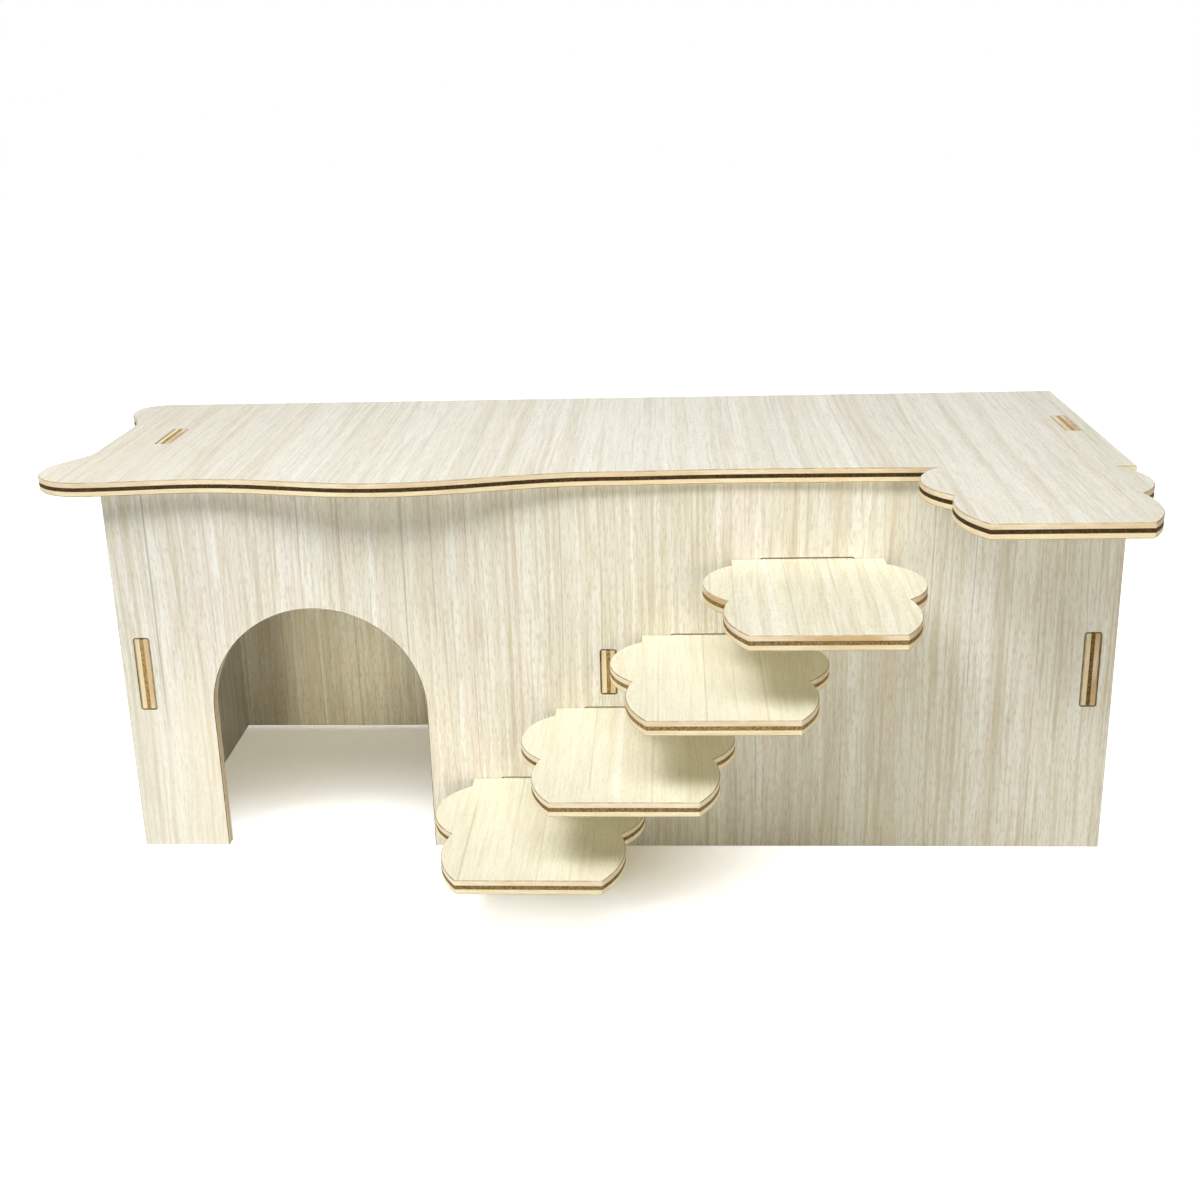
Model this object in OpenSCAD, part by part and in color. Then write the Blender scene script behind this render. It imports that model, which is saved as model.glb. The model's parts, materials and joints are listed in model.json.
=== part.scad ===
// Two-room hideout for a small pet, cut from one thickness of plywood.
// Ten boards push together with tabs and slots: a front and a back panel, two side walls,
// a divider, a lift-off roof with a platform, and four steps that plug into the front.
//
// House coordinates, used by every outline below:
//   X = 0 at the middle of the front panel, +X to the right
//   Y = 0 at the front panel's outer face, +Y towards the back
//   Z = 0 on the floor, +Z up
// in_place() then moves the house so that its origin is the middle of its footprint box.

/* [Boards] */
// Thickness of every board
board_t = 4; // [3:0.5:6]
// Clearance on each side of a tab in its slot
joint_gap = 0.2; // [0.1:0.05:0.4]

/* [Shell] */
// Width of the front and back panels
panel_w = 280; // [270:1:360]
// Height of the panels and walls
panel_h = 110; // [106:0.5:150]
// Depth of the shell, over the outer faces of both panels
shell_d = 92.5; // [80:0.5:140]
// How far the panels pass the outer face of each side wall
side_lip = 4.4; // [2:0.2:10]

/* [Doorway] */
// Width of the arched doorway
door_w = 62; // [40:1:80]
// Height of the doorway at the crown of its arch
door_h = 74.5; // [50:0.5:90]
// From the front panel's left end to the doorway
door_margin = 25.6; // [14:0.2:32]

/* [Divider passage] */
// Width of the passage between the rooms
passage_w = 50; // [36:1:60]
// Height of the passage at the crown of its arch
passage_h = 66; // [50:1:85]

/* [Tabs] */
// Length of the side walls' front and back tabs
wall_tab_l = 21.4; // [12:0.2:40]
// Length of the divider's front and back tabs
divider_tab_l = 12.9; // [8:0.1:30]
// Length of the side walls' top tabs
roof_tab_l = 19.4; // [12:0.2:40]
// How far the top tabs sit behind the middle of the shell
roof_tab_back = 1.2; // [0:0.1:8]
// Width of a step's tab
step_tab_w = 25; // [15:1:36]

/* [Roof] */
// How far the roof's plain left edge passes the panels
roof_over_left = 10.3; // [4:0.1:20]
// How far the roof passes the back panel
roof_over_back = 2; // [0:0.5:12]
// How far the roof stands forward of the front panel at its right corner
roof_over_right_corner = 3.9; // [1:0.1:6]
// How far the roof stands forward of the front panel at its left corner
roof_over_left_corner = 7.9; // [3:0.1:12]
// First hollow of the front edge: right of the plain left edge, and forward of the panel
front_hollow = [40, 5.4]; // [0:0.1:300]
// Swell of the front edge, over the doorway
front_swell = [89, 12.4]; // [0:0.1:300]
// Where that swell has run out
front_run_out = [149, 3]; // [0:0.1:300]
// Where the front edge lies closest to the panel
front_nearest = [184, 2]; // [0:0.1:300]
// From the front panel to where the left edge's front swell ends
left_edge_from = 28.5; // [25:0.5:40]
// From the front panel to where the left edge's back swell starts
left_edge_to = 62.5; // [50:0.5:72]
// Radius of the roof's front left corner
front_corner_r = 15; // [8:0.5:20]
// How far the front left corner swells past the plain left edge
front_corner_out = 8.3; // [3:0.1:12]
// Radius of the roof's back left corner
back_corner_r = 9.2; // [5:0.1:14]
// How far the back left corner swells past the plain left edge
back_corner_out = 7.1; // [3:0.1:12]

/* [Cloud outline of the steps and the platform] */
// Width of the straight neck against the panel
neck_w = 42; // [38:1:46]
// Width across the pair of lobes next to the neck
lobe_w = 58.2; // [54:0.2:62]
// Radius of those lobes
lobe_r = 18.5; // [17:0.5:19.5]
// From the panel to the centres of those lobes
lobe_y = 20.7; // [19:0.1:22]
// Width across the outer pair of lobes
tip_w = 48.8; // [46:0.2:50]
// Radius of the outer lobes
tip_r = 27.5; // [26:0.5:32]
// From the panel to the widest place of the outer lobes
tip_y = 43.4; // [42:0.1:46]
// From the panel to the straight front edge
cloud_reach = 60; // [56:0.1:64]
// How far the platform's outline starts behind the front panel's outer face
platform_back = 3.5; // [1:0.5:8]

/* [Steps] */
// How far the middle of the flight's top faces lies above the middle of the wall tabs
flight_raise = 0; // [-1:0.05:1.5]
// Rise from one step to the next
step_rise = 22; // [16:0.5:24]
// Middle of the lowest step, left of the middle of the house
first_step_left = 19; // [0:0.1:22]
// Distance across from one step to the next
step_run = 24.7; // [18:0.1:30]

/* [Hidden] */

STEP_COUNT = 4;
// Facets of a full circle in the curved outlines and in a slot's corners
ROUND_FN = 96;
CORNER_FN = 24;
// Steps in each arc of the roof's edge, and in each blend between two heights
ARC_STEPS = 10;
BLEND_STEPS = 8;
// Extra length of a cutting shape past the edge that it opens
CUT = 1;

PANEL_WOOD = [0.89, 0.86, 0.78];
WALL_WOOD = [0.85, 0.80, 0.69];
ROOF_WOOD = [0.91, 0.90, 0.85];
STEP_WOOD = [0.97, 0.94, 0.86];

half_w = panel_w / 2;
tab_z = panel_h / 2;
roof_tab_y = shell_d / 2 + roof_tab_back;
wall_x = half_w - side_lip - board_t / 2;
door_x = door_margin + door_w / 2 - half_w;
// A square tab still clears a slot corner of this radius
slot_corner_r = 3 * joint_gap;

roof_left = -half_w - roof_over_left;
roof_back = shell_d + roof_over_back;
front_corner_x = roof_left - front_corner_out + front_corner_r;
front_corner_y = front_corner_r - roof_over_left_corner;
back_corner_x = roof_left - back_corner_out + back_corner_r;
back_corner_y = roof_back - back_corner_r;
platform_x = half_w - lobe_w / 2;

centre_x = (roof_left - front_corner_out + half_w) / 2;
centre_y = (roof_back - cloud_reach) / 2;

// Points along an arc, without its last one
function arc(x, y, r, from, to) =
    [for (i = [0 : ARC_STEPS - 1]) let (a = from + (to - from) * i / ARC_STEPS)
        [x + r * cos(a), y + r * sin(a)]];

// Rises from 0 to 1 with a level start and end
function ease(s) = (1 - cos(180 * s)) / 2;

// Points from p to q, level in Y at both ends
function wave_between(p, q) =
    [for (i = [1 : BLEND_STEPS - 1]) let (s = i / BLEND_STEPS)
        [p.x + (q.x - p.x) * s, p.y + (q.y - p.y) * ease(s)]];

// Points from p to q, upright in X at both ends
function swell_between(p, q) =
    [for (i = [1 : BLEND_STEPS - 1]) let (s = i / BLEND_STEPS)
        [p.x + (q.x - p.x) * ease(s), p.y + (q.y - p.y) * s]];

// A run of points with a wave between each neighbouring pair
function wave_through(places) =
    [for (i = [0 : len(places) - 2]) each concat([places[i]], wave_between(places[i], places[i + 1]))];

module in_place() {
    translate([-centre_x, -centre_y, 0]) children();
}

// A board that stands across the house, its front face at y
module across(y) {
    translate([0, y + board_t, 0]) rotate([90, 0, 0]) linear_extrude(board_t) children();
}

// A board that stands along the depth of the house, its middle plane at x
module along(x) {
    translate([x - board_t / 2, 0, 0]) rotate([90, 0, 90]) linear_extrude(board_t) children();
}

// A board that lies flat, its underside at z
module lying(z) {
    translate([0, 0, z]) linear_extrude(board_t) children();
}

// The slot for a tab of the given size, centred, with rounded corners
module slot(tab) {
    w = tab.x + 2 * joint_gap;
    h = tab.y + 2 * joint_gap;
    square([w - 2 * slot_corner_r, h], center = true);
    square([w, h - 2 * slot_corner_r], center = true);
    for (sx = [-1, 1], sy = [-1, 1])
        translate([sx * (w / 2 - slot_corner_r), sy * (h / 2 - slot_corner_r)])
            circle(r = slot_corner_r, $fn = CORNER_FN);
}

// An arched opening that stands on the floor
module arch(w, h) {
    translate([-w / 2, -CUT]) square([w, h - w / 2 + CUT]);
    translate([0, h - w / 2]) circle(d = w, $fn = ROUND_FN);
}

module panel_outline() {
    difference() {
        translate([-half_w, 0]) square([panel_w, panel_h]);
        for (side = [-1, 1])
            translate([side * wall_x, tab_z]) slot([board_t, wall_tab_l]);
        translate([0, tab_z]) slot([board_t, divider_tab_l]);
    }
}

// A wall between the panels, with a tab of length tab_l into each of them
module wall_outline(tab_l) {
    translate([board_t, 0]) square([shell_d - 2 * board_t, panel_h]);
    translate([0, tab_z - tab_l / 2]) square([shell_d, tab_l]);
}

module side_wall_outline() {
    wall_outline(wall_tab_l);
    translate([roof_tab_y - roof_tab_l / 2, tab_z]) square([roof_tab_l, tab_z + board_t]);
}

// The outline shared by the steps and the roof's platform, its neck starting at Y = 0
module cloud_outline() {
    lobe_x = lobe_w / 2 - lobe_r;
    tip_x = tip_r - tip_w / 2;
    translate([-neck_w / 2, -lobe_y]) square([neck_w, lobe_y]);
    for (side = [-1, 1])
        translate([side * lobe_x, -lobe_y]) circle(r = lobe_r, $fn = ROUND_FN);
    intersection() {
        translate([-tip_x, -tip_y]) circle(r = tip_r, $fn = ROUND_FN);
        translate([tip_x, -tip_y]) circle(r = tip_r, $fn = ROUND_FN);
        translate([-tip_w / 2, -cloud_reach]) square([tip_w, cloud_reach - lobe_y]);
    }
}

module roof_outline() {
    front_right = [half_w, -roof_over_right_corner];
    wave_places = concat(
        [[front_corner_x, -roof_over_left_corner]],
        [for (p = [front_hollow, front_swell, front_run_out, front_nearest]) [roof_left + p.x, -p.y]],
        [front_right]);
    back_left = [roof_left - back_corner_out, back_corner_y];
    front_left = [roof_left - front_corner_out, front_corner_y];
    plain_back = [roof_left, left_edge_to];
    plain_front = [roof_left, left_edge_from];
    difference() {
        union() {
            polygon(concat(
                wave_through(wave_places),
                [front_right, [half_w, roof_back]],
                arc(back_corner_x, back_corner_y, back_corner_r, 90, 180),
                [back_left],
                swell_between(back_left, plain_back),
                [plain_back, plain_front],
                swell_between(plain_front, front_left),
                arc(front_corner_x, front_corner_y, front_corner_r, 180, 270)));
            translate([platform_x, platform_back]) cloud_outline();
        }
        for (side = [-1, 1])
            translate([side * wall_x, roof_tab_y]) slot([board_t, roof_tab_l]);
    }
}

module front_panel() {
    color(PANEL_WOOD) in_place() across(0) difference() {
        panel_outline();
        translate([door_x, 0]) arch(door_w, door_h);
        for (i = [0 : STEP_COUNT - 1])
            translate([step_x(i), step_top(i) - board_t / 2]) slot([step_tab_w, board_t]);
    }
}

module back_panel() {
    color(PANEL_WOOD) in_place() across(shell_d - board_t) panel_outline();
}

module left_wall() {
    color(WALL_WOOD) in_place() along(-wall_x) side_wall_outline();
}

module right_wall() {
    color(WALL_WOOD) in_place() along(wall_x) side_wall_outline();
}

module divider() {
    color(WALL_WOOD) in_place() along(0) difference() {
        wall_outline(divider_tab_l);
        translate([shell_d / 2, 0]) arch(passage_w, passage_h);
    }
}

module roof() {
    color(ROOF_WOOD) in_place() lying(panel_h) roof_outline();
}

function step_x(i) = i * step_run - first_step_left;
function step_top(i) = tab_z + flight_raise + (i - (STEP_COUNT - 1) / 2) * step_rise;

// Step number i, counted from the lowest, with its shoulders against the front panel
module step(i) {
    color(STEP_WOOD) in_place() translate([step_x(i), 0, 0]) lying(step_top(i) - board_t) {
        cloud_outline();
        translate([-step_tab_w / 2, -lobe_y]) square([step_tab_w, lobe_y + board_t]);
    }
}

module step_1() {
    step(0);
}

module step_2() {
    step(1);
}

module step_3() {
    step(2);
}

module step_4() {
    step(3);
}

front_panel();
back_panel();
left_wall();
right_wall();
divider();
roof();
step_1();
step_2();
step_3();
step_4();
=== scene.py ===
"""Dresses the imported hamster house: ten laser-cut plywood boards with printed wood-grain faces.

Each board of the frame is rebuilt from its own outline as three plies with softened arrises and
a scorched core that lies a little back, because a laser burns it deeper than the outer plies.
"""
import json
import math

import bmesh
import bpy
from mathutils import Matrix, Vector

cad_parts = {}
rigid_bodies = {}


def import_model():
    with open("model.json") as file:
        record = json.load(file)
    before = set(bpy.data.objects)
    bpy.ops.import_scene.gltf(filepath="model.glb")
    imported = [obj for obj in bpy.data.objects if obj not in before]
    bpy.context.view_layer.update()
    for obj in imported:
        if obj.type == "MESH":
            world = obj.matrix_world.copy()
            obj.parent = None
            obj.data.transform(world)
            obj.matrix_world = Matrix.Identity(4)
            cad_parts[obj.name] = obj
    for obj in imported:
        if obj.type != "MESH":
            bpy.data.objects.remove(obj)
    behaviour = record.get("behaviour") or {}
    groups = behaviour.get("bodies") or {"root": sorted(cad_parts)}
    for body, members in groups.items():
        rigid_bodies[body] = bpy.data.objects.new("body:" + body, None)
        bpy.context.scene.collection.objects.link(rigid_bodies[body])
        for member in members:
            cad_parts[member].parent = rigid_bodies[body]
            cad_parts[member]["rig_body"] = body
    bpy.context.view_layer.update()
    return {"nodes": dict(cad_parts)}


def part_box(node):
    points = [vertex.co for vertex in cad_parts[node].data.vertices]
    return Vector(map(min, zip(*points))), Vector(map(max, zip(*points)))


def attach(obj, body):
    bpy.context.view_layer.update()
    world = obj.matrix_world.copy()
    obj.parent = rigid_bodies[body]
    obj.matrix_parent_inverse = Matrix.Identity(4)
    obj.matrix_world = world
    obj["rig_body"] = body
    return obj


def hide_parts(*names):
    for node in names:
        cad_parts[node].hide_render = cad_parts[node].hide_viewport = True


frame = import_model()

MM = 0.001

# ---------------------------------------------------------------------------------- the boards

# The cut edge from the upper face to the middle of the board: depth as a share of the board's
# thickness, how far the edge stands out in millimetres, and the material from there on
HALF_EDGE = [
    (0.040, -0.05, "scorch"),
    (0.060, -0.01, "ply"),
    (0.080, 0.00, "ply"),
    (0.360, 0.00, "groove"),
    (0.375, -0.07, "core"),
]

# How far the singed rim reaches at most (mm) on the straight sides of a board's box, and how dark
# it is
SIDE_RIM = 0.20
SIDE_CHAR = 0.25

# How near (mm) to a side of its board's box an outline counts as that side
SIDE_REACH = 0.3

# Edges of the cut that turn more sharply than this are shaded as sharp
SHARP_TURN = math.radians(32)

# The print's own tone on the panels and walls, on the roof and on the steps; on the back panel a
# tone that is painted light, lighter and warmer, for light inside the house
PANEL_TONE, INSIDE_PAINTED_LIGHT_TONE = (1.0, 1.0, 1.03, 1.0), (1.10, 1.07, 1.02, 1.0)
ROOF_TONE, STEP_TONE = (0.97, 0.965, 0.97, 1.0), (1.02, 1.02, 0.96, 1.0)

# Per board: its place on the printed sheet (across and along the grain, mm), how grey, how
# contrasty and of what tone its print is, how strongly the laser burnt its core, how toasted its
# upper ply is, and how wide (mm) and how dark its singed rim is. The panel's calm is how much
# fainter its print gets low at its left end, and the right wall's top_burn is for its upper tabs.
BOARDS = {
    "front_panel": dict(
        sheet=(0, 0), grey=0.10, contrast=1.0, calm=0.38, tone=PANEL_TONE,
        burn=0.10, toast=0.10, rim=0.22, char=1.0),
    "back_panel": dict(
        # Painted light: the back panel's print is lighter and warmer to stand in for light inside the
        # house
        sheet=(410, 90), grey=0.10, contrast=1.0, tone=INSIDE_PAINTED_LIGHT_TONE,
        burn=0.45, toast=0.30, rim=0.22, char=0.5),
    "left_wall": dict(
        sheet=(830, 40), grey=0.05, contrast=1.0, tone=PANEL_TONE,
        burn=0.50, toast=0.70, rim=0.20, char=0.7),
    "right_wall": dict(
        sheet=(955, 160), grey=0.20, contrast=1.0, tone=PANEL_TONE,
        burn=0.82, top_burn=0.40, toast=1.30, rim=0.20, char=0.9),
    "divider": dict(
        sheet=(1090, 220), grey=0.15, contrast=1.0, tone=PANEL_TONE,
        burn=0.52, toast=0.60, rim=0.20, char=0.7),
    "roof": dict(
        sheet=(1270, 310), grey=0.30, contrast=0.65, tone=ROOF_TONE,
        burn=1.00, toast=0.40, rim=0.20, char=0.4),
    "step_1": dict(
        sheet=(1630, 20), grey=0.00, contrast=0.32, tone=STEP_TONE,
        burn=0.72, toast=0.20, rim=0.20, char=0.5),
    "step_2": dict(
        sheet=(1710, 130), grey=0.00, contrast=0.32, tone=STEP_TONE,
        burn=0.68, toast=0.05, rim=0.20, char=0.5),
    "step_3": dict(
        sheet=(1803, 250), grey=0.05, contrast=0.32, tone=STEP_TONE,
        burn=0.62, toast=0.30, rim=0.20, char=0.55),
    "step_4": dict(
        sheet=(1899, 370), grey=0.20, contrast=0.55, tone=STEP_TONE,
        burn=0.70, toast=0.75, rim=0.20, char=0.5),
}

# The print's most visible single streaks: place across the grain, half width, strength, start and
# end along the grain (mm), and colour. Places on the panel are from its left end, and on the steps
# from their middle. Each is at its full strength over MARK_CORE of its width, and fades out from
# MARK_FADE (mm) inside its ends to as much beyond them.
DARK_LINE, PALE_LANE = (0.39, 0.33, 0.23, 1.0), (0.96, 0.95, 0.89, 1.0)
MARK_CORE, MARK_FADE = 0.3, 6
MARKS = {
    "front_panel": [
        (11.4, 0.36, 0.65, 40, 112, DARK_LINE),
        (97.5, 1.10, 0.55, 0, 112, PALE_LANE),
        (29.0, 1.60, 0.35, 0, 112, PALE_LANE),
        (66.0, 0.25, 0.38, 60, 112, DARK_LINE),
        (83.5, 0.25, 0.33, 60, 112, DARK_LINE),
    ],
    "step_1": [
        (-18, 0.40, 0.32, -80, -34, DARK_LINE),
        (-6, 0.30, 0.28, -60, 0, DARK_LINE),
        (2, 0.35, 0.25, -90, -40, DARK_LINE),
    ],
    "step_2": [
        (-9, 0.30, 0.28, -70, -10, DARK_LINE),
        (7, 0.40, 0.26, -90, -30, DARK_LINE),
        (-2, 1.40, 0.50, -90, 0, PALE_LANE),
    ],
    "step_3": [
        (-4, 0.35, 0.34, -90, -10, DARK_LINE),
        (11, 0.35, 0.28, -90, -30, DARK_LINE),
        (-16, 0.30, 0.22, -90, 0, DARK_LINE),
    ],
    "step_4": [
        (-12, 1.30, 0.60, -90, 0, PALE_LANE),
        (-7, 0.30, 0.34, -90, 0, DARK_LINE),
        (5, 0.35, 0.25, -60, 0, DARK_LINE),
    ],
}

# Where the calm print lies, from the panel's left end and from its foot (mm): it has its full
# strength up to the first of each pair, and none from the second on
CALM_ACROSS, CALM_UP = (30, 62), (40, 62)


def thickness_axis(low, high):
    """0, 1 or 2 for the axis along which a board is thinnest."""
    size = high - low
    return min(range(3), key=lambda i: size[i])


def outlines(mesh, axis, level):
    """The closed outlines of the flat face that a board has at that level of the axis.

    Each is a list of places (u, v), where u, v and the axis are right-handed, and the wood lies
    on its left."""
    bm = bmesh.new()
    bm.from_mesh(mesh)
    bmesh.ops.remove_doubles(bm, verts=bm.verts, dist=1e-3 * MM)
    top = {f for f in bm.faces if all(abs(v.co[axis] - level) < 1e-2 * MM for v in f.verts)}
    following = {}
    for face in top:
        for loop in face.loops:
            if sum(f in top for f in loop.edge.link_faces) == 1:
                following[loop.vert] = loop.link_loop_next.vert
    u, v = (axis + 1) % 3, (axis + 2) % 3
    found = []
    while following:
        start, vert = following.popitem()
        ring = [start]
        while vert is not start:
            ring.append(vert)
            vert = following.pop(vert)
        found.append([Vector((p.co[u], p.co[v])) for p in ring])
    bm.free()
    return found


def outward(ring):
    """For each place of an outline, the step that moves both edges there outward by 1."""
    steps = []
    for i, here in enumerate(ring):
        before = (here - ring[i - 1]).normalized()
        after = (ring[(i + 1) % len(ring)] - here).normalized()
        normals = [Vector((d.y, -d.x)) for d in (before, after)]
        steps.append((normals[0] + normals[1]) / max(0.3, 1 + normals[0].dot(normals[1])))
    return steps


def edge_profile(thickness):
    """The whole cut edge, as (depth, stand-out, material), from the upper face to the lower.

    The stand-out is None at the rim of each face, where it is the board's own. Each material
    reaches down to the next depth, and the last has none below it."""
    half = [(0.0, None, "scorch")] + [(depth, out * MM, part) for depth, out, part in HALF_EDGE]
    mirrored = {"ply": "lower_ply", "groove": "groove", "scorch": "scorch"}
    lower_parts = [mirrored[part] for _, _, part in reversed(half[:-1])] + [None]
    upper = [(depth * thickness, out, part) for depth, out, part in half]
    return upper + [(thickness - d, out, part) for (d, out, _), part in zip(reversed(upper), lower_parts)]


def board_piece(name, rim, materials):
    """A board's detailed mesh in place of its CAD node, with the same outline and thickness.

    The rim is singed in the board's openings and along its curves, and hardly on the straight
    sides of its box."""
    cad = frame["nodes"][name]
    low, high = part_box(name)
    axis = thickness_axis(low, high)
    u, v = (axis + 1) % 3, (axis + 2) % 3
    slots = list(materials)
    bm = bmesh.new()

    def place(spot, depth):
        co = Vector((0, 0, 0))
        co[u], co[v], co[axis] = spot.x, spot.y, high[axis] - depth
        return bm.verts.new(co)

    def sides(spot):
        gaps = (spot.x - low[u], high[u] - spot.x, spot.y - low[v], high[v] - spot.y)
        return {i for i, gap in enumerate(gaps) if gap < SIDE_REACH * MM}

    ends = ([], [])
    for ring in outlines(cad.data, axis, high[axis]):
        count = len(ring)
        rims = [min(rim, SIDE_RIM) if sides(p) else rim for p in ring]
        levels = []
        for depth, out, _ in edge_profile(high[axis] - low[axis]):
            outs = [-r * MM if out is None else out for r in rims]
            levels.append([place(p + s * o, depth) for p, s, o in zip(ring, outward(ring), outs)])
        parts = [part for _, _, part in edge_profile(high[axis] - low[axis])]
        for upper, lower, part in zip(levels, levels[1:], parts):
            for i in range(count):
                j = (i + 1) % count
                face = bm.faces.new((upper[i], lower[i], lower[j], upper[j]))
                straight = part == "scorch" and sides(ring[i]) & sides(ring[j])
                face.material_index = slots.index("side_scorch" if straight else part)
        for end, level in zip(ends, (levels[0], levels[-1])):
            end.extend(bm.edges.get((level[i - 1], level[i])) for i in range(count))
    for end, way in zip(ends, (1, -1)):
        made = bmesh.ops.triangle_fill(bm, edges=end, use_beauty=True)["geom"]
        for face in (f for f in made if isinstance(f, bmesh.types.BMFace)):
            face.material_index = slots.index("print")
            face.normal_update()
            if face.normal[axis] * way < 0:
                face.normal_flip()
    mesh = bpy.data.meshes.new(name + "_board")
    bm.to_mesh(mesh)
    bm.free()
    for material in materials.values():
        mesh.materials.append(material)
    mesh.set_sharp_from_angle(angle=SHARP_TURN)
    for face in mesh.polygons:
        face.use_smooth = face.material_index != slots.index("print")
    piece = bpy.data.objects.new(name + "_board", mesh)
    bpy.context.scene.collection.objects.link(piece)
    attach(piece, cad["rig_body"])
    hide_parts(name)
    return piece


# ------------------------------------------------------------------------------- the materials


def srgb(red, green, blue):
    """A colour as a picture shows it, 0 to 255, as the linear colour that a shader takes."""
    def linear(c):
        c /= 255
        return c / 12.92 if c <= 0.04045 else ((c + 0.055) / 1.055) ** 2.4
    return (linear(red), linear(green), linear(blue), 1.0)


class Graph:
    """The shader nodes of one material or world, its owner."""

    def __init__(self, owner):
        owner.use_nodes = True
        self.owner = owner
        self.tree = owner.node_tree
        self.tree.nodes.clear()

    def node(self, kind, inputs=(), **settings):
        """A node with its settings, and its inputs by name or number, as values or links."""
        made = self.tree.nodes.new(kind)
        for key, value in settings.items():
            setattr(made, key, value)
        for key, value in dict(inputs).items():
            if isinstance(value, bpy.types.NodeSocket):
                self.tree.links.new(value, made.inputs[key])
            else:
                made.inputs[key].default_value = value
        return made

    def math(self, operation, a, b=0.0):
        return self.node("ShaderNodeMath", {0: a, 1: b}, operation=operation).outputs[0]

    def noise(self, vector, scale=1.0, detail=2.0, rough=0.5):
        inputs = {"Vector": vector, "Scale": scale, "Detail": detail, "Roughness": rough}
        return self.node("ShaderNodeTexNoise", inputs).outputs["Fac"]

    def borders(self, along):
        """How far a place on a line is from the nearest border of its random cells, each 1 long."""
        settings = dict(voronoi_dimensions="1D", feature="DISTANCE_TO_EDGE")
        cells = self.node("ShaderNodeTexVoronoi", {"W": along, "Scale": 1.0}, **settings)
        return cells.outputs["Distance"]

    def spread(self, value, low, high, to_low=0.0, to_high=1.0):
        """Maps low to high smoothly onto to_low to to_high, and holds the ends."""
        inputs = {"Value": value, "From Min": low, "From Max": high}
        inputs.update({"To Min": to_low, "To Max": to_high})
        made = self.node("ShaderNodeMapRange", inputs, interpolation_type="SMOOTHSTEP")
        return made.outputs["Result"]

    def mix(self, share, a, b, blend="MIX"):
        """That share of colour b over colour a. The node's colour sockets are known by number."""
        made = self.node("ShaderNodeMix", data_type="RGBA", blend_type=blend)
        for key, value in ((0, share), (6, a), (7, b)):
            if isinstance(value, bpy.types.NodeSocket):
                self.tree.links.new(value, made.inputs[key])
            else:
                made.inputs[key].default_value = value
        return made.outputs[2]

    def spot(self):
        """The piece's own coordinates, in millimetres, as a vector and its three parts."""
        own = self.node("ShaderNodeTexCoord").outputs["Object"]
        scale = self.node("ShaderNodeVectorMath", {0: own, "Scale": 1 / MM}, operation="SCALE")
        scaled = scale.outputs[0]
        return scaled, self.node("ShaderNodeSeparateXYZ", {0: scaled}).outputs

    def vector(self, x, y, z):
        return self.node("ShaderNodeCombineXYZ", {0: x, 1: y, 2: z}).outputs[0]

    def finish(self, colour, rough, shine, height=None, bump=0.0):
        """Ends the material, with an optional relief that is bump millimetres high."""
        inputs = {"Base Color": colour, "Roughness": rough, "Specular IOR Level": shine}
        if height is not None:
            relief = {"Height": height, "Strength": 1.0, "Distance": bump * MM}
            inputs["Normal"] = self.node("ShaderNodeBump", relief).outputs[0]
        shader = self.node("ShaderNodeBsdfPrincipled", inputs)
        self.node("ShaderNodeOutputMaterial", {0: shader.outputs[0]})
        return self.owner


# The print's colours: its two grounds, their tints, the lanes and streaks on them, the rare thin
# cracks, the fine grain and pores, and what it fades to where it is weak or calm
GROUND, PALE_GROUND = srgb(234, 230, 211), srgb(244, 242, 228)
PINK_TINT, GREY_TINT = srgb(238, 228, 216), srgb(233, 232, 219)
LANE, LIGHT_STREAK, DARK_STREAK = srgb(218, 209, 184), srgb(251, 250, 242), srgb(202, 191, 160)
CRACK, FINE_GRAIN, PORE = srgb(166, 154, 130), srgb(195, 183, 150), srgb(192, 180, 148)
WEAK_PRINT, CALM_PRINT = srgb(236, 231, 212), srgb(232, 227, 207)

# The mean distance between cracks, and how far the grain wanders sideways and over what distances
# across and along itself (mm)
CRACK_SPACING = 11.0
GRAIN_DRIFT, DRIFT_ACROSS, DRIFT_ALONG = 4.0, 70, 110


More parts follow.
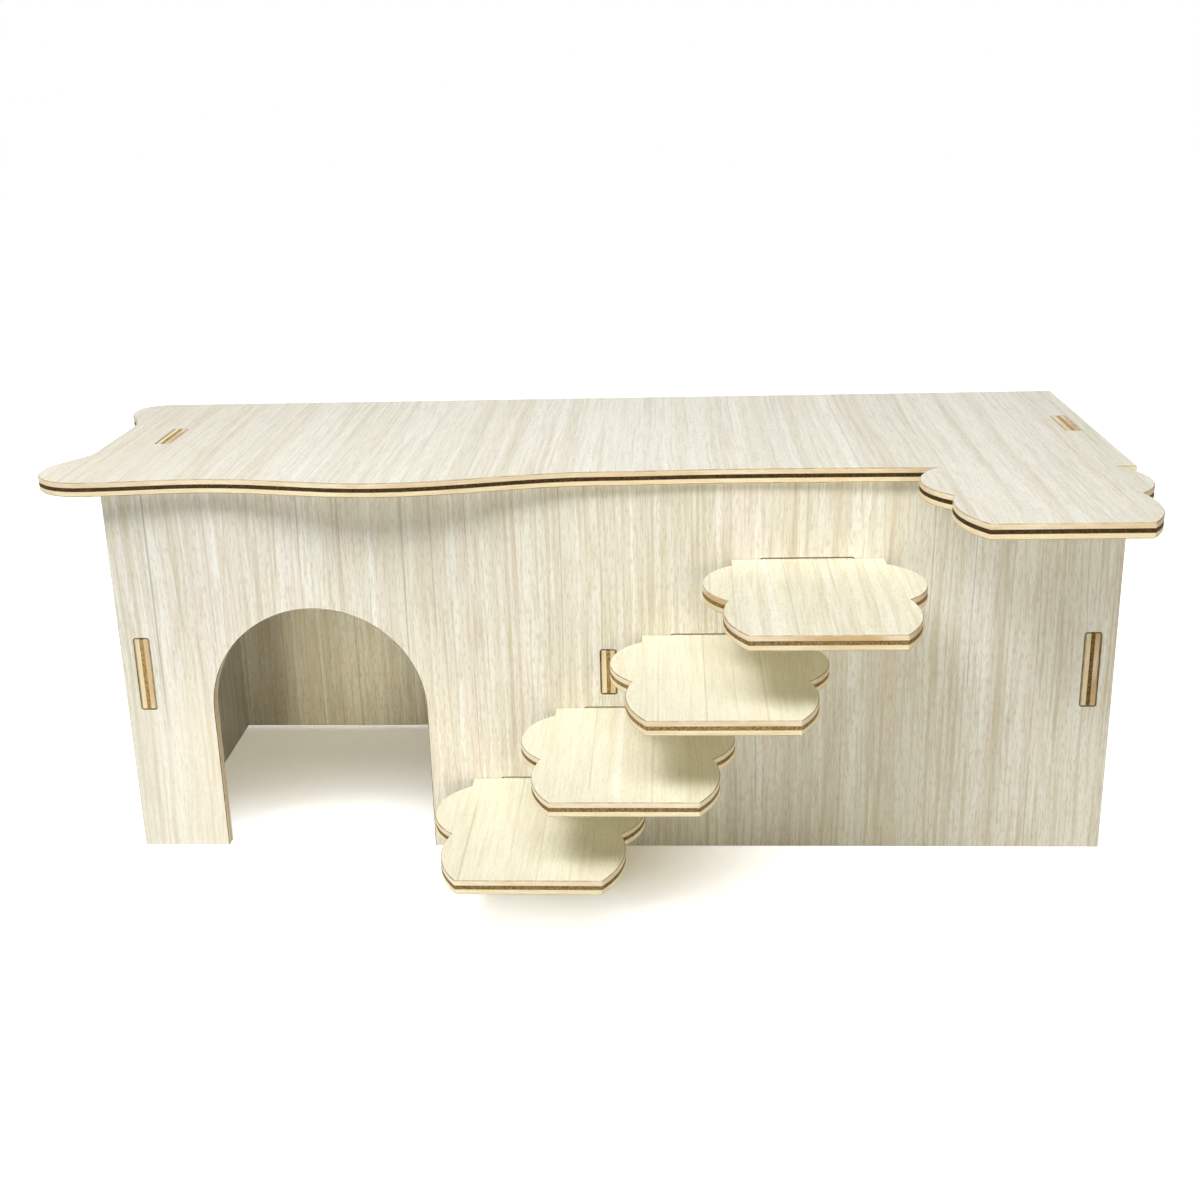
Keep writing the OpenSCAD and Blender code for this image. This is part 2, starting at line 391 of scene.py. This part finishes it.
def printed_face(name, axis, look):
    """The printed paper: pale and dark streaks along the grain, fine pores and a few thin lines."""
    g = Graph(bpy.data.materials.new(name + "_print"))
    _, xyz = g.spot()
    across, along = {0: (1, 2), 1: (0, 2), 2: (0, 1)}[axis]
    beside, v = xyz[across], g.math("ADD", xyz[along], float(look["sheet"][1]))
    u = g.math("ADD", beside, float(look["sheet"][0]))
    slow = g.math("MULTIPLY", u, 1 / DRIFT_ACROSS), g.math("MULTIPLY", v, 1 / DRIFT_ALONG)
    drift = g.noise(g.vector(*slow, 3.1), detail=1.0)
    u = g.math("ADD", u, g.math("MULTIPLY", drift, GRAIN_DRIFT))

    def streak(width, length, seed, detail=0.0):
        """Noise in streaks of about that width and length in millimetres."""
        cell = g.vector(g.math("MULTIPLY", u, 1 / width), g.math("MULTIPLY", v, 1 / length), seed)
        return g.noise(cell, detail=detail)

    broad = streak(14.0, 1600.0, 1.7, detail=1.0)
    lane = streak(3.4, 900.0, 8.3, detail=1.0)
    pale = streak(2.2, 500.0, 15.9, detail=1.0)
    line = streak(1.0, 60.0, 22.4)
    fine = streak(0.55, 12.0, 26.3)
    pore = streak(0.32, 2.4, 31.2)
    tint = streak(6.0, 300.0, 40.6)
    fade = streak(9.0, 60.0, 47.8)

    grey, contrast = look["grey"], look["contrast"]
    colour = g.mix(g.spread(broad, 0.36, 0.64), GROUND, PALE_GROUND)
    colour = g.mix(g.spread(tint, 0.54, 0.72, 0.0, 0.55), colour, PINK_TINT)
    colour = g.mix(g.spread(tint, 0.46, 0.28, 0.0, 0.25 + grey), colour, GREY_TINT)
    colour = g.mix(g.spread(lane, 0.52, 0.30, 0.0, 0.46), colour, LANE)
    light = g.math("MULTIPLY", g.spread(pale, 0.52, 0.68), g.spread(fade, 0.30, 0.60, 0.20, 0.70))
    colour = g.mix(light, colour, LIGHT_STREAK)
    dark = g.math("MULTIPLY", g.spread(line, 0.50, 0.30), g.spread(fade, 0.66, 0.38, 0.15, 0.52))
    colour = g.mix(dark, colour, DARK_STREAK)
    near = g.spread(g.borders(g.math("MULTIPLY", u, 1 / CRACK_SPACING)), 0.022, 0.008)
    crack = g.math("MULTIPLY", near, g.spread(fade, 0.50, 0.62, 0.0, 0.45))
    colour = g.mix(crack, colour, CRACK)
    colour = g.mix(contrast, WEAK_PRINT, colour)

    left, right = (corner[across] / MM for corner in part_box(name))
    start = left if name == "front_panel" else (left + right) / 2
    for place, width, strength, low, high, mark in MARKS.get(name, ()):
        gap = g.math("ABSOLUTE", g.math("SUBTRACT", beside, start + place))
        begun = g.spread(xyz[along], low - MARK_FADE, low + MARK_FADE)
        going = g.spread(xyz[along], high + MARK_FADE, high - MARK_FADE)
        share = g.spread(gap, width, width * MARK_CORE, 0.0, strength)
        colour = g.mix(g.math("MULTIPLY", share, g.math("MULTIPLY", begun, going)), colour, mark)

    depth = 0.3 + 0.7 * contrast
    colour = g.mix(g.spread(fine, 0.52, 0.26, 0.0, 0.32 * depth), colour, FINE_GRAIN)
    colour = g.mix(g.spread(pore, 0.50, 0.24, 0.0, 0.36 * depth), colour, PORE)
    if "calm" in look:
        (strong_x, weak_x), (strong_z, weak_z) = CALM_ACROSS, CALM_UP
        sideways = g.spread(beside, left + weak_x, left + strong_x)
        upward = g.spread(xyz[along], weak_z, strong_z, 0.0, look["calm"])
        colour = g.mix(g.math("MULTIPLY", sideways, upward), colour, CALM_PRINT)
    colour = g.mix(1.0, colour, look["tone"], blend="MULTIPLY")
    height = g.math("ADD", g.math("MULTIPLY", line, 0.5), g.math("MULTIPLY", pore, 0.5))
    return g.finish(colour, g.spread(lane, 0.3, 0.7, 0.62, 0.50), 0.35, height, 0.03)


# Fibres on the cut edge: their length with the board's faces and their thickness across (mm)
FIBRE_LENGTH, FIBRE_THICKNESS = 5.0, 0.28

# The laser's marks: toasted wood and its darker specks, the core's light and deep wood, each as
# unburnt, singed and blackened, and the rim's faint and strong line, each in two shades
TOASTED, TOAST_SPECK = srgb(208, 175, 126), srgb(178, 142, 92)
LIGHT_CORE = (srgb(246, 226, 190), srgb(190, 162, 108), srgb(86, 64, 26))
DEEP_CORE = (srgb(228, 200, 156), srgb(130, 100, 52), srgb(38, 23, 5))
FAINT_LINE = (srgb(232, 218, 190), srgb(206, 184, 148))
STRONG_LINE = (srgb(138, 118, 82), srgb(84, 66, 38))

# The pale and the dark fibres of the two outer plies, and how much of a board's toast each takes
UPPER_PLY, UPPER_TOAST = (srgb(252, 241, 214), srgb(240, 220, 184)), 0.8
LOWER_PLY, LOWER_TOAST = (srgb(253, 241, 205), srgb(244, 224, 180)), 0.3

# The height of the highest tabs, and how far below it a top_burn ends, over what distance (mm)
TABS_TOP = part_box("right_wall")[1].z / MM
TOP_BURN_DEPTH, TOP_BURN_FADE = 6, 2


def fibres(g, axis):
    """Noise in thin layers that lie with the board's faces, as the fibres of a ply do."""
    _, xyz = g.spot()
    lengths = [FIBRE_LENGTH] * 3
    lengths[axis] = FIBRE_THICKNESS
    return g.noise(g.vector(*(g.math("MULTIPLY", part, 1 / n) for part, n in zip(xyz, lengths))))


def ply_edge(name, axis, shades, toast):
    """The cut edge of an outer ply: light wood in fine layers, toasted golden by the laser."""
    g = Graph(bpy.data.materials.new(name))
    pale, dark = shades
    spot, _ = g.spot()
    layers = fibres(g, axis)
    patch = g.noise(spot, scale=0.05, detail=3.0)
    speck = g.noise(spot, scale=2.3, detail=1.0)
    toasted = g.math("MULTIPLY", g.spread(patch, 0.32, 0.68, 0.35, 1.65), toast)
    colour = g.mix(g.spread(layers, 0.32, 0.66), dark, pale)
    colour = g.mix(toasted, colour, TOASTED)
    colour = g.mix(g.spread(speck, 0.62, 0.74, 0.0, 0.12 + 0.3 * toast), colour, TOAST_SPECK)
    return g.finish(colour, 0.62, 0.3, layers, 0.05)


def core_edge(name, burn, top_burn=None):
    """The cut edge of the middle ply, from pale at a burn of 0 to a speckled black-brown at 1.

    A top_burn is for the tabs that reach up through the roof."""
    g = Graph(bpy.data.materials.new(name))
    spot, xyz = g.spot()
    pores = g.noise(spot, scale=1.7, detail=3.0, rough=0.65)
    run = g.noise(spot, scale=0.12, detail=2.0)

    def burnt(share):
        singed, black = min(1.0, share * 2), max(0.0, share * 2 - 1)
        light, deep = (
            g.mix(black, g.mix(singed, raw, brown), dark)
            for raw, brown, dark in (LIGHT_CORE, DEEP_CORE)
        )
        speckled = g.mix(g.spread(pores, 0.34, 0.66), deep, light)
        return g.mix(g.spread(run, 0.50, 0.70, 0.0, 0.30), speckled, light)

    colour = burnt(burn)
    if top_burn is not None:
        lower = TABS_TOP - TOP_BURN_DEPTH
        colour = g.mix(g.spread(xyz[2], lower, lower + TOP_BURN_FADE), colour, burnt(top_burn))
    return g.finish(colour, 0.78, 0.2, pores, 0.10)


def scorch_line(name, char):
    """The rim, where the printed paper ends in a thin singed line."""
    g = Graph(bpy.data.materials.new(name))
    spot, _ = g.spot()
    run = g.noise(spot, scale=0.35, detail=3.0)
    faint = g.mix(g.spread(run, 0.35, 0.65), *FAINT_LINE)
    strong = g.mix(g.spread(run, 0.35, 0.65), *STRONG_LINE)
    return g.finish(g.mix(char, faint, strong), 0.7, 0.25)


def board_materials(name, look):
    """A board's materials by the part of it that they are on, in the order of its slots."""
    axis = thickness_axis(*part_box(name))
    toast, char = look["toast"], look["char"]
    burns = look["burn"], look.get("top_burn")
    return {
        "print": printed_face(name, axis, look),
        "scorch": scorch_line(name + "_scorch", char),
        "side_scorch": scorch_line(name + "_side_scorch", min(char, SIDE_CHAR)),
        "ply": ply_edge(name + "_upper_ply", axis, UPPER_PLY, UPPER_TOAST * toast),
        "lower_ply": ply_edge(name + "_lower_ply", axis, LOWER_PLY, LOWER_TOAST * toast),
        "groove": core_edge(name + "_groove", *burns),
        "core": core_edge(name + "_core", *burns),
    }


for board, look in BOARDS.items():
    board_piece(board, look["rim"], board_materials(board, look))

# ------------------------------------------------------------------- the floor, light and camera

# The photograph's camera, found by fitting it to the boards
CAMERA_PLACE = (0.02751, -0.42424, 0.21725)
CAMERA_YAW, CAMERA_PITCH, CAMERA_ROLL = (math.radians(a) for a in (-3.9309, 19.0225, 1.7249))
PICTURE_SIDE = 1200
FOCAL_PIXELS = 1549.6
CENTRE_COLUMN = 572

FLOOR_RADIUS = 3.0
WORLD_LIGHT = 0.03

# The floor's paint, and its glow to the camera: plain white, but dimmed and warmed as painted shade
# inside the house and around the foot of the steps. That place is an ellipse, found by shrinking the
# floor by STEPS_SHAPE, and the glow is back to white at STEPS_REACH from its middle (metres).
FLOOR_PAINT = (0.88, 0.88, 0.867, 1.0)
WHITE_GLOW, STEPS_PAINTED_SHADE_GLOW = (1.0, 1.0, 1.0, 1.0), (0.10, 0.07, 0.01, 1.0)
INSIDE_PAINTED_SHADE_GLOW = (0.31, 0.29, 0.23, 1.0)
STEPS_FOOT, STEPS_SHAPE, STEPS_REACH = (-0.003, -0.022, 0.0), (0.65, 1.0, 0.0), 0.06

# From the middle of the house sideways, and from the panels' outer faces, the distances at which
# the floor counts as outside and as inside (metres, along +Y at the front and the back)
INSIDE_BESIDE, INSIDE_FRONT, INSIDE_BACK = (0.145, 0.130), (-0.005, 0.040), (0.005, -0.010)

COOL, WHITE = (0.985, 0.995, 1.03), (1.0, 1.0, 1.0)
WARM, YELLOW = (1.0, 0.985, 0.95), (1.0, 0.92, 0.70)

# An arched softbox over the front in strips, low fills from the right and into the doorway, of
# which the narrow ones have a grid, and a weak one from behind
SOFTBOXES = [
    dict(place=(-0.320, -0.247, 0.811), size=(0.40, 0.22), power=2.90, colour=COOL),
    dict(place=(-0.320, -0.447, 0.713), size=(0.40, 0.22), power=2.35, colour=COOL),
    dict(place=(0.080, -0.447, 0.713), size=(0.40, 0.22), power=2.30, colour=WARM),
    dict(place=(0.300, -1.040, 0.240), size=(0.25, 0.25), power=0.60, colour=YELLOW),
    dict(place=(0.300, -1.040, 0.200), size=(0.25, 0.25), power=0.040, colour=YELLOW,
         aim=(0.12, 0.0, 0.060), spread=24),
    dict(place=(-0.078, -0.600, 0.050), size=(0.08, 0.05), power=0.0055, colour=YELLOW,
         aim=(-0.078, 0.0, 0.025), spread=10),
    dict(place=(0.100, 1.000, 0.450), size=(0.60, 0.60), power=1.00, colour=WHITE),
]


def add_camera():
    """The camera that sees what the photograph shows."""
    sin, cos = math.sin, math.cos
    level_ahead = Vector((sin(CAMERA_YAW), cos(CAMERA_YAW), 0))
    ahead = cos(CAMERA_PITCH) * level_ahead - sin(CAMERA_PITCH) * Vector((0, 0, 1))
    level_right = Vector((cos(CAMERA_YAW), -sin(CAMERA_YAW), 0))
    level_down = ahead.cross(level_right)
    right = cos(CAMERA_ROLL) * level_right + sin(CAMERA_ROLL) * level_down
    down = cos(CAMERA_ROLL) * level_down - sin(CAMERA_ROLL) * level_right
    data = bpy.data.cameras.new("camera")
    data.sensor_width = 36
    data.lens = FOCAL_PIXELS / PICTURE_SIDE * data.sensor_width
    data.shift_x = (PICTURE_SIDE / 2 - CENTRE_COLUMN) / PICTURE_SIDE
    data.clip_start, data.clip_end = 0.01, 20
    camera = bpy.data.objects.new("camera", data)
    turn = Matrix((right, -down, -ahead)).transposed()
    camera.matrix_world = Matrix.Translation(CAMERA_PLACE) @ turn.to_4x4()
    bpy.context.scene.collection.objects.link(camera)
    bpy.context.scene.camera = camera


def seen_rays(g):
    """1 for rays that show a thing to the camera, also by a mirror or through glass."""
    path = g.node("ShaderNodeLightPath").outputs
    seen = g.math("MAXIMUM", path["Is Camera Ray"], path["Is Glossy Ray"])
    return g.math("MAXIMUM", seen, path["Is Transmission Ray"])


def add_floor():
    """A white floor keeping the house's shadow, with painted shade indoors and at the steps, white around
    it.
    """
    g = Graph(bpy.data.materials.new("floor"))
    place = g.node("ShaderNodeTexCoord").outputs["Object"]
    x, y, _ = g.node("ShaderNodeSeparateXYZ", {0: place}).outputs
    front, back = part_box("front_panel")[0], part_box("back_panel")[1]
    beside = g.math("ABSOLUTE", g.math("SUBTRACT", x, (front.x + back.x) / 2))
    past_front = g.spread(y, *(front.y + d for d in INSIDE_FRONT))
    before_back = g.spread(y, *(back.y + d for d in INSIDE_BACK))
    indoors = g.math("MULTIPLY", g.spread(beside, *INSIDE_BESIDE), before_back)
    indoors = g.math("MULTIPLY", indoors, past_front)
    flat = g.node("ShaderNodeVectorMath", {0: place, 1: STEPS_SHAPE}, operation="MULTIPLY").outputs[0]
    off = g.node("ShaderNodeVectorMath", {0: flat, 1: STEPS_FOOT}, operation="DISTANCE")
    # Painted shade: the floor's glow is dimmed and warm around the foot of the steps and inside the house
    glow = g.mix(g.spread(off.outputs["Value"], 0.0, STEPS_REACH), STEPS_PAINTED_SHADE_GLOW, WHITE_GLOW)
    glow = g.mix(indoors, glow, INSIDE_PAINTED_SHADE_GLOW)
    shade = g.node("ShaderNodeBsdfDiffuse", {"Color": FLOOR_PAINT}).outputs[0]
    shine = g.node("ShaderNodeEmission", {"Color": glow, "Strength": seen_rays(g)}).outputs[0]
    both = g.node("ShaderNodeAddShader", {0: shade, 1: shine}).outputs[0]
    g.node("ShaderNodeOutputMaterial", {0: both})
    bm = bmesh.new()
    bmesh.ops.create_circle(bm, cap_ends=True, radius=FLOOR_RADIUS, segments=64)
    mesh = bpy.data.meshes.new("floor")
    bm.to_mesh(mesh)
    bm.free()
    mesh.materials.append(g.owner)
    floor = bpy.data.objects.new("floor", mesh)
    bpy.context.scene.collection.objects.link(floor)


def add_world():
    """Plain white light from all round, and a white background."""
    g = Graph(bpy.data.worlds.new("world"))
    strength = g.node("ShaderNodeMapRange", {"Value": seen_rays(g), "To Min": WORLD_LIGHT})
    light = {"Color": (1, 1, 1, 1), "Strength": strength.outputs[0]}
    g.node("ShaderNodeOutputWorld", {0: g.node("ShaderNodeBackground", light).outputs[0]})
    bpy.context.scene.world = g.owner


def add_softbox(place, size, power, colour, aim=(0.0, 0.0, 0.05), spread=180):
    """An area lamp at place that faces aim, with a grid that narrows its light to spread degrees."""
    data = bpy.data.lights.new("softbox", "AREA")
    data.shape = "RECTANGLE"
    data.size, data.size_y = size
    data.energy = power
    data.color = colour
    data.spread = math.radians(spread)
    lamp = bpy.data.objects.new("softbox", data)
    lamp.location = place
    ray = Vector(aim) - Vector(place)
    lamp.rotation_euler = ray.to_track_quat("-Z", "Y").to_euler()
    bpy.context.scene.collection.objects.link(lamp)


add_camera()
add_floor()
add_world()
for softbox in SOFTBOXES:
    add_softbox(**softbox)
bpy.context.scene.view_settings.view_transform = "Standard"
